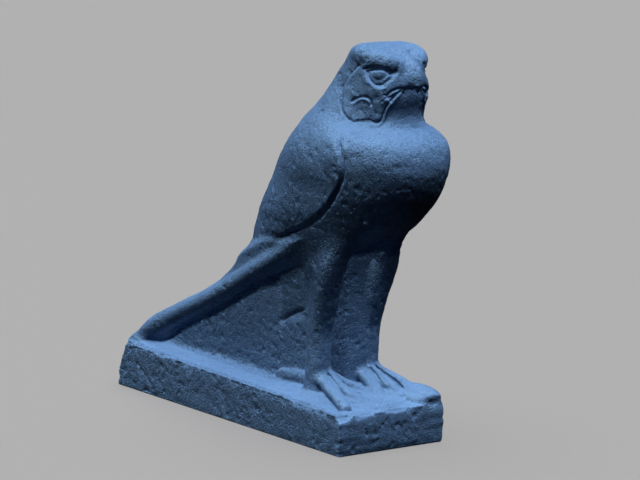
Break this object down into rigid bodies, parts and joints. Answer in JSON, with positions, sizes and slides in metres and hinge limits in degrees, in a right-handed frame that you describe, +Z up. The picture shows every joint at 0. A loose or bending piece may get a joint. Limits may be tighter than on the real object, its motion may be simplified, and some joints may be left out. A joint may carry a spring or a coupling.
{
  "type": "horus falcon figure",
  "caption": "Carved stone falcon standing upright on a long plinth, tail and web of stone reaching down behind the legs, worn and chipped",
  "frame": {"origin": "middle of the plinth's flat underside", "axes": "+Z up from the underside to the crown, -Y towards the beak and breast, +Y towards the tail, +X the side turned away in the picture"},
  "size_m": [0.157, 0.4374, 0.4588],
  "materials": {
    "stone": null
  },
  "bodies": {
    "root": {"falcon_on_plinth": "stone"}
  },
  "joints": []
}
